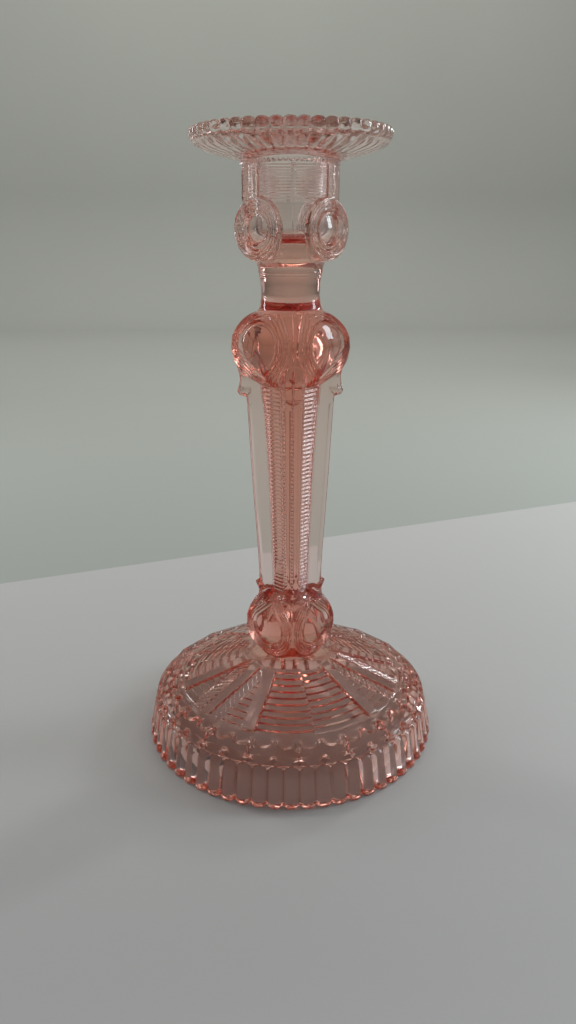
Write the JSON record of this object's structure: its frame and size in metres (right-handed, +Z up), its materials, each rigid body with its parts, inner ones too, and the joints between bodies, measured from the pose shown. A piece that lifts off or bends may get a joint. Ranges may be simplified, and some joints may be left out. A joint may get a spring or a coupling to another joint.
{
  "type": "glass candlestick",
  "caption": "Pressed rose glass candlestick: beaded drip pan, socket with ringed bosses, tapering cross-shaped shaft with ribbed faces between knops, and a domed foot with a fluted skirt.",
  "frame": {"origin": "centre of the ring that the foot stands on, on the table's surface", "axes": "+Z up along the candlestick's axis, through the candle well; the arms of the cross-shaped shaft lie along the X and Y axes"},
  "size_m": [0.1164, 0.1164, 0.2245],
  "materials": {
    "rose_glass": "clear fire-polished pressed glass, pale rose to salmon where it is thick"
  },
  "bodies": {
    "root": {"drip_pan": "rose_glass", "candle_socket": "rose_glass", "neck": "rose_glass", "shoulder_knop": "rose_glass", "column": "rose_glass", "lower_knop": "rose_glass", "foot": "rose_glass"}
  },
  "joints": []
}
